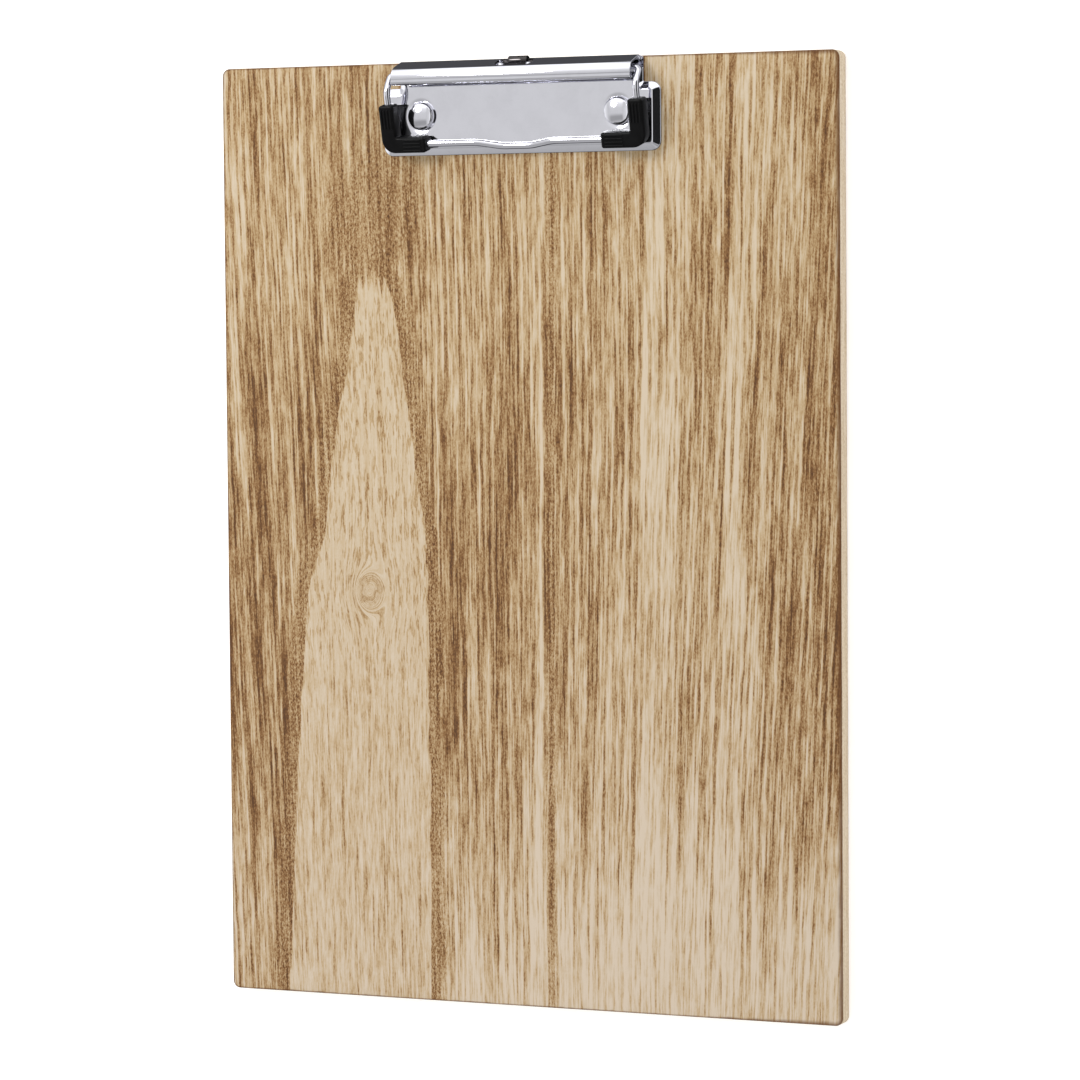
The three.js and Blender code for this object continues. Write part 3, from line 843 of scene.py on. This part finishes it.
def panel_levels():
    """(inset, height) of the pressed panel's skin, up its outside with rounded bends."""
    slope = (PANEL_HEIGHT - RIM_HEIGHT) / BEVEL_WIDTH
    corners = [
        (Vector((0.0, 0.0)), 0.0),
        (Vector((0.0, RIM_HEIGHT)), 0.25),
        (Vector((BEVEL_WIDTH, PANEL_HEIGHT)), 0.42),
        (Vector((BEVEL_WIDTH + FLAT_MARGIN, PANEL_HEIGHT)), 0.0),
    ]
    outside = rounded(corners, closed=False, steps=5)
    drop = PLATE_SHEET * math.hypot(1.0, slope)
    inside = [
        Vector((BEVEL_WIDTH + FLAT_MARGIN, PANEL_HEIGHT - PLATE_SHEET)),
        Vector((BEVEL_WIDTH + 0.3, PANEL_HEIGHT - PLATE_SHEET)),
        Vector((PLATE_SHEET, RIM_HEIGHT + slope * PLATE_SHEET - drop)),
        Vector((PLATE_SHEET, 0.0)),
    ]
    return outside, inside


def make_panel(bm):
    wide, narrow, corner = PANEL_HALF_WIDTH, REAR_HALF_WIDTH, PANEL_CORNER
    low, middle, high = SHELF_FOOT_DOWN, PANEL_TOP_DOWN, PANEL_BOTTOM_DOWN
    corners = (
        (-wide, high, corner), (-wide, middle, corner), (-narrow, middle, 0.3), (-narrow, low, 1.0),
        (narrow, low, 1.0), (narrow, middle, 0.3), (wide, middle, corner), (wide, high, corner),
    )
    outline = rounded([(Vector((x, down)), reach) for x, down, reach in corners], steps=8)
    outside, inside = panel_levels()
    skins = []
    for levels in (outside, inside):
        rings = [flat_ring(bm, inset(outline, level.x), level.y) for level in levels]
        bridge(bm, rings)
        skins.append(rings)
    bridge(bm, [skins[1][-1], skins[0][0]])
    dishes, shadows = [], []
    for centre in rivet_places().values():
        steps = 8
        dish = []
        for step in range(steps + 1):
            share = step / steps
            radius = DIMPLE_RADIUS + (RIVET_HOLE_RADIUS - DIMPLE_RADIUS) * share
            sink = DIMPLE_DEPTH * (1 - math.cos(math.pi * min(1.0, 1.6 * share))) / 2
            dish.append(flat_ring(bm, circle(centre, radius), PANEL_HEIGHT - sink))
        under = flat_ring(bm, circle(centre, RIVET_HOLE_RADIUS), PANEL_HEIGHT - PLATE_SHEET)
        bridge(bm, [*dish, under])
        dishes.append(dish[0])
        shadows.append(under)
    fill(bm, skins[0][-1], *dishes)
    fill(bm, skins[1][0], *shadows)


def make_base_plate():
    bm = bmesh.new()
    make_panel(bm)
    gap = TONGUE_HALF_WIDTH + TONGUE_GAP
    front = SHELF_FOOT_DOWN + PLATE_SHEET / 2
    notch = TONGUE_ROOM_DOWN
    corners = (
        (-REAR_HALF_WIDTH, front, 0.0), (-REAR_HALF_WIDTH, TAIL_END_DOWN, 0.8), (-gap, TAIL_END_DOWN, 0.5),
        (-gap, notch, 0.5), (gap, notch, 0.5), (gap, TAIL_END_DOWN, 0.5),
        (REAR_HALF_WIDTH, TAIL_END_DOWN, 0.8), (REAR_HALF_WIDTH, front, 0.0),
    )
    outline = rounded([(Vector((x, down)), reach) for x, down, reach in corners], steps=4)[::-1]
    levels = [(0.0, 0.02)]
    levels += [(share * TAIL_EASE, PLATE_SHEET - (1 - share) * TAIL_EASE) for share in (0.0, 0.3, 1.0)]
    solid(bm, [flat_ring(bm, inset(outline, cut), height) for cut, height in levels])
    root = Vector((TONGUE_ROOT_DOWN, HINGE_HEIGHT - CURL_RADIUS))
    curl = side_arc(Vector((HINGE_DOWN, HINGE_HEIGHT)), CURL_RADIUS, -math.pi / 2, CURL_END, 22)
    sheet(bm, [root, *curl], TONGUE_SHEET, -TONGUE_HALF_WIDTH, TONGUE_HALF_WIDTH)
    return to_object("riveted_base_plate", bm)


def lever_middle():
    """The lever's middle line from inside its rolled bead to the lip, as (down, height)."""
    hinge = Vector((HINGE_DOWN, HINGE_HEIGHT))
    wall = WALL_TOP - hinge
    lean = math.asin(BEAD_RADIUS / wall.length)
    facing = wall.normalized()
    rear = Vector((-facing.y, facing.x))
    rear.rotate(Matrix.Rotation(-lean, 2))
    leaving = math.atan2(rear.y, rear.x)
    radius = BEAD_RADIUS - LEVER_SHEET / 2
    turns = [leaving + BEAD_TURN * (1 - step / 20) for step in range(20)]
    roll = [hinge + radius * Vector((math.cos(turn), math.sin(turn))) for turn in turns]
    outside = [hinge + BEAD_RADIUS * rear]
    outside += [outside[0].lerp(WALL_TOP, share) for share in (0.33, 0.66, 1.0)]
    outside += curve_through(WALL_TOP, SHOULDER, CREST, 16)
    outside += [CREST.lerp(CREASE, 0.5), CREASE]
    outside += curve_through(CREASE, LIP_BEND, LIP_END, 12)
    return roll + offset(outside, -LEVER_SHEET / 2)


def make_lever():
    bm = bmesh.new()
    sheet(bm, lever_middle(), LEVER_SHEET, -LEVER_HALF_LENGTH, LEVER_HALF_LENGTH, ease=0.12)
    lever = to_object("rolled_lever", bm)

    cutter_bm = bmesh.new()
    outline = rectangle(-SLOT_HALF_WIDTH, SLOT_HALF_WIDTH, SLOT_START, SLOT_END, SLOT_CORNER, steps=8)
    hinge = Vector((HINGE_DOWN, HINGE_HEIGHT))
    up_wall = (WALL_TOP - hinge).normalized()
    out_of_wall = Vector((-up_wall.y, up_wall.x))
    depth = 4 * BEAD_RADIUS
    rings = []
    for side in (-0.5, 0.5):
        base = hinge + out_of_wall * depth * side
        rings.append(ring(cutter_bm, [spot(p.x, *(base + up_wall * p.y)) for p in outline]))
    solid(cutter_bm, rings)
    cut_away(lever, to_object("slot_cutter", cutter_bm))

    straps_bm = bmesh.new()
    straps_bm.from_mesh(lever.data)
    pivot = Vector((BAIL_DOWN, BAIL_HEIGHT))
    strap = side_arc(pivot, (STRAP_INNER + STRAP_OUTER) / 2, STRAP_START, STRAP_END, 26)
    for x in (-STRAP_X, STRAP_X):
        sheet(straps_bm, strap, STRAP_OUTER - STRAP_INNER, x - STRAP_WIDTH / 2, x + STRAP_WIDTH / 2)
    bpy.data.objects.remove(lever)
    return to_object("rolled_lever", straps_bm)


def half_bail(side):
    """(place, bend reach) down one side of the bail, from its tip in the slot to the dip."""
    tip_drop = (BAIL_DOWN - TIP_END_DOWN) * math.tan(TIP_ANGLE)
    slope = (GRIP_TOP_HEIGHT - FOOT_HEIGHT) / (FOOT_DOWN - GRIP_TOP_DOWN)
    knee_height = FOOT_HEIGHT + slope * (FOOT_DOWN - LEG_KNEE_DOWN)
    corners = (
        (TIP_X, TIP_END_DOWN, BAIL_HEIGHT - tip_drop, 0.0),
        (TIP_X, BAIL_DOWN, BAIL_HEIGHT, 1.6),
        (LEG_X, BAIL_DOWN, BAIL_HEIGHT, 1.6),
        (LEG_X, LEG_CREST_DOWN, LEG_CREST_HEIGHT, 2.2),
        (LEG_X, LEG_KNEE_DOWN, knee_height, 1.2),
        (LEG_X, FOOT_DOWN, FOOT_HEIGHT, 2.6),
        (DIP_HALF, FOOT_DOWN, FOOT_HEIGHT, 1.8),
        (DIP_FLAT_HALF, FOOT_DOWN + DIP_DOWN, FOOT_HEIGHT - DIP_DROP, 1.8),
    )
    return [(spot(side * x, down, height), reach * MM) for x, down, height, reach in corners]


def bail_path():
    return rounded(half_bail(-1) + half_bail(1)[::-1], closed=False, steps=10)


def make_bail():
    bm = bmesh.new()
    sweep(bm, bail_path(), WIRE_RADIUS * MM)
    return to_object("bent_wire_bail", bm, smooth_degrees=50)


def add_rib(bm, outline):
    """One round-topped rib on the flat face of a grip."""
    face = GRIP_HALF_WIDTH
    levels = [(0.0, face - 0.4)]
    for step in range(5):
        turn = math.pi / 2 * step / 5
        levels.append((RIB_ROUND * (1 - math.cos(turn)), face + RIB_RISE - RIB_ROUND * (1 - math.sin(turn))))
    solid(bm, [raised_ring(bm, inset(outline, cut), height) for cut, height in levels])


def make_grip(side, name):
    """An L-shaped sleeve, drawn flat round the wire's bottom corner and tilted to the bail's slope."""
    run = FOOT_DOWN - GRIP_TOP_DOWN
    rise = GRIP_TOP_HEIGHT - FOOT_HEIGHT
    leg = math.hypot(run, rise)
    foot = LEG_X - GRIP_INNER_X
    half = GRIP_HALF_WIDTH
    corners = (
        (half, -half, GRIP_OUTER_CORNER), (half, leg, 1.0), (-half, leg, 1.0), (-half, half, 0.5),
        (-foot, half, 0.9), (-foot, -half, 0.9),
    )
    outline = rounded([(Vector((u, v)), reach) for u, v, reach in corners], steps=8)
    bm = bmesh.new()
    levels = eased_levels(-half, half, GRIP_EDGE, 5)
    solid(bm, [raised_ring(bm, inset(outline, cut), height) for cut, height in levels])
    to_place = (
        Matrix.Translation(spot(side * LEG_X, FOOT_DOWN, FOOT_HEIGHT))
        @ Matrix.Rotation(math.atan2(rise, run), 4, "X")
        @ Matrix.Diagonal((side * MM, MM, MM, 1.0))
    )
    bm.transform(to_place)
    sleeve = to_object(name, bm)
    bore = bmesh.new()
    sweep(bore, bail_path(), (WIRE_RADIUS + 0.14) * MM)
    cut_away(sleeve, to_object("bore_cutter", bore))

    ribs = bmesh.new()
    for index in range(RIB_COUNT):
        middle = (index - (RIB_COUNT - 1) / 2) * RIB_PITCH
        low, high = middle - RIB_WIDTH / 2, middle + RIB_WIDTH / 2
        leg_end, foot_end = leg - RIB_MARGIN, -foot + RIB_MARGIN
        add_rib(ribs, rectangle(low, high, leg_end - RIB_LENGTH, leg_end, 0.29, steps=4))
        add_rib(ribs, rectangle(foot_end, foot_end + RIB_LENGTH, low, high, 0.29, steps=4))
    ribs.transform(to_place)
    ribs.from_mesh(sleeve.data)
    bpy.data.objects.remove(sleeve)
    return to_object(name, ribs)


def rivet_tail(bottom):
    """The profile of the hollow tail, from its middle out over the rolled rim to the shank."""
    top = bottom + RECESS_DEPTH - WASHER_THICKNESS
    low = bottom + RIVET_TAIL_HEIGHT
    profile = [(0.0, top - 0.2), (0.9, top - 0.24), (1.25, top - 0.4), (RIVET_HOLLOW_RADIUS, low + 0.3)]
    roll = (RIVET_TAIL_RADIUS - RIVET_HOLLOW_RADIUS - 0.05) / 2
    for step in range(13):
        turn = math.pi * (1 + step / 12)
        radius = RIVET_TAIL_RADIUS - roll + roll * math.cos(turn)
        profile.append((radius, low + RIVET_ROLL_RISE * (1 + math.sin(turn))))
    profile += [(RIVET_TAIL_RADIUS, top - 0.1), (RIVET_TAIL_RADIUS - 0.15, top)]
    return [*profile, (RIVET_SHANK_RADIUS, top)]


def rivet_head(seat):
    """The profile of the head, from its seat on the panel over the eased rim to the top of its cap."""
    rim, ease, lean = RIVET_HEAD_RADIUS, RIVET_HEAD_EASE, RIVET_CAP_LEAN
    top = PANEL_HEIGHT + RIVET_HEAD_RISE
    cap_radius = (rim - ease + ease * math.cos(lean)) / math.cos(lean)
    cap_low = top - cap_radius * (1 - math.sin(lean))
    ease_low = cap_low - ease * math.sin(lean)
    profile = [(rim - 0.2, seat), (rim, seat + 0.2)]
    for step in range(9):
        turn = lean * step / 8
        profile.append((rim - ease + ease * math.cos(turn), ease_low + ease * math.sin(turn)))
    for step in range(1, 12):
        turn = lean + (math.pi / 2 - lean) * step / 12
        profile.append((cap_radius * math.cos(turn), top - cap_radius * (1 - math.sin(turn))))
    return [*profile, (0.0, top)]


def make_rivet(centre, name):
    bm = bmesh.new()
    seat = PANEL_HEIGHT - DIMPLE_DEPTH
    tail = rivet_tail(to_height(BOARD_LOW.z))
    lathe(bm, centre.x, centre.y, [*tail, (RIVET_SHANK_RADIUS, seat), *rivet_head(seat)])
    return to_object(name, bm)


def make_washer(centre, name):
    bm = bmesh.new()
    top = to_height(BOARD_LOW.z) + RECESS_DEPTH
    low = top - WASHER_THICKNESS
    ease = 0.12
    outer, hole = WASHER_RADIUS, RIVET_HOLE_RADIUS
    profile = [
        (hole, low + ease), (hole + ease, low), (outer - ease, low), (outer, low + ease),
        (outer, top - ease), (outer - ease, top), (hole + ease, top), (hole, top - ease),
    ]
    rings = lathe(bm, centre.x, centre.y, profile)
    bridge(bm, [rings[-1], rings[0]])
    return to_object(name, bm)


def build_pieces():
    chrome = srgb(236, 236, 243)
    # The sheet's finish carries painted shade in the hinge behind the lever's slot.
    clip = plated_metal("bright_plated_sheet", chrome, 0.045, 0.05, 0.15, painted_hinge_shade=True)
    wire = plated_metal("bright_plated_wire", chrome, 0.05, 0.04, 0.1)
    dome = plated_metal("bright_plated_rivet", chrome, 0.07, 0.06, 0.1)
    zinc = plated_metal("dull_zinc", srgb(196, 198, 200), 0.32, 0.2, 0.5)
    rubber = rubber_material()
    board = make_board()
    # The plating mirrors the room's cards alone
    board.visible_glossy = False
    keep(board, "board", "root", wood_material())
    keep(make_base_plate(), "base_plate", "root", clip)
    keep(make_lever(), "lever", "lever", clip)
    keep(make_bail(), "wire_bail", "bail", wire)
    for name, side in (("left", -1), ("right", 1)):
        centre = rivet_places()[name]
        keep(make_grip(side, f"rubber_grip_{name}"), f"grip_{name}", "bail", rubber)
        keep(make_rivet(centre, f"domed_rivet_{name}"), f"rivet_{name}", "root", dome)
        keep(make_washer(centre, f"back_washer_{name}"), f"washer_{name}", "root", zinc)


# ---------------------------------------------------------------- stage


def make_floor():
    half = 3.0
    mesh = bpy.data.meshes.new("pale_floor")
    corners = [(-half, -half, 0.0), (half, -half, 0.0), (half, half, 0.0), (-half, half, 0.0)]
    mesh.from_pydata(corners, [], [(0, 1, 2, 3)])
    floor = bpy.data.objects.new("pale_floor", mesh)
    bpy.context.scene.collection.objects.link(floor)
    floor.location.z = BOARD_LOW.z - 0.1 * MM
    material = bpy.data.materials.new("pale_floor")
    material.use_nodes = True
    shader = material.node_tree.nodes["Principled BSDF"]
    shader.inputs["Base Color"].default_value = (0.97, 0.97, 0.97, 1.0)
    shader.inputs["Emission Color"].default_value = (1.0, 1.0, 1.0, 1.0)
    shader.inputs["Emission Strength"].default_value = 0.3
    shader.inputs["Roughness"].default_value = 0.9
    shader.inputs["Specular IOR Level"].default_value = 0.1
    floor.data.materials.append(material)
    floor.visible_glossy = False


def make_light(name, direction, distance, size, power, glossy=False):
    data = bpy.data.lights.new(name, "AREA")
    data.shape = "DISK"
    data.size = size
    data.energy = power
    light = bpy.data.objects.new(name, data)
    bpy.context.scene.collection.objects.link(light)
    away = Vector(direction).normalized()
    light.location = away * distance
    light.rotation_euler = away.to_track_quat("Z", "Y").to_euler()
    light.visible_glossy = glossy


def make_world():
    """An even white room for matt surfaces, and soft pale and dark cards for the plated ones."""
    world = bpy.data.worlds.new("studio")
    bpy.context.scene.world = world
    world.use_nodes = True
    graph = Graph(world.node_tree)
    background = world.node_tree.nodes["Background"]
    east, north, up = graph.split(graph.node("ShaderNodeTexCoord").outputs["Generated"])
    north_share = graph.math("MULTIPLY_ADD", north, 0.5, 0.5)
    east_share = graph.math("MULTIPLY_ADD", east, 0.5, 0.5)
    along = graph.ramp(
        north_share,
        (
            (0.0, 0.05), (0.04, 0.42), (0.1, 0.55), (0.16, 0.25), (0.2, 0.6), (0.28, 0.38), (0.36, 0.38),
            (0.42, 0.6), (0.45, 0.69), (0.52, 0.7), (0.6, 0.72), (0.7, 0.9), (0.78, 1.35), (1.0, 1.4),
        ),
    )
    across = graph.ramp(
        east_share,
        (
            (0.0, 1.2), (0.05, 1.0), (0.12, 0.65), (0.5, 0.6), (0.62, 0.75), (0.68, 1.1), (0.73, 0.015),
            (0.92, 0.015), (0.95, 0.3), (0.98, 0.02),
        ),
    )
    on_left = graph.step(east, -0.6, -0.8)
    abreast = graph.step(graph.math("ABSOLUTE", north), 0.6, 0.5)
    overhead = graph.times(abreast, graph.step(up, 0.3, 0.42))
    on_right = graph.times(graph.step(east, 0.0, 0.12), overhead)
    cards = graph.mix(graph.add(on_left, on_right), along, across)
    below = graph.step(up, -0.12, -0.3)
    shown = graph.mix(below, cards, (0.075, 0.075, 0.08))
    # A pale low card behind the board, with a gap in it
    low = graph.step(up, 0.2, -0.05)
    beside_gap = graph.step(graph.math("ABSOLUTE", graph.add(east, 0.39)), 0.12, 0.25)
    behind = graph.times(graph.step(north, 0.2, 0.4), beside_gap)
    shown = graph.mix(graph.times(low, behind), shown, (0.62, 0.62, 0.65))
    ray = graph.node("ShaderNodeLightPath").outputs["Is Glossy Ray"]
    graph.put(background.inputs["Color"], graph.mix(ray, (0.9, 0.9, 0.9), shown))
    background.inputs["Strength"].default_value = 1.0


def make_camera():
    data = bpy.data.cameras.new("camera")
    data.lens = CAMERA_LENS
    data.sensor_width = CAMERA_SENSOR
    camera = bpy.data.objects.new("camera", data)
    bpy.context.scene.collection.objects.link(camera)
    turn = (
        Matrix.Rotation(CAMERA_SWING, 4, "Y")
        @ Matrix.Rotation(-CAMERA_RISE, 4, "X")
        @ Matrix.Rotation(CAMERA_ROLL, 4, "Z")
    )
    aim = CAMERA_AIM + Vector((0.0, 0.0, BOARD_HIGH.z))
    camera.matrix_world = Matrix.Translation(aim + turn @ Vector((0.0, 0.0, CAMERA_DISTANCE))) @ turn
    bpy.context.scene.camera = camera


build_pieces()
make_floor()
make_world()
make_light("key", (-0.5, 0.55, 0.9), 1.6, 0.5, 9.0, glossy=True)
make_camera()
bpy.context.scene.view_settings.view_transform = "Standard"
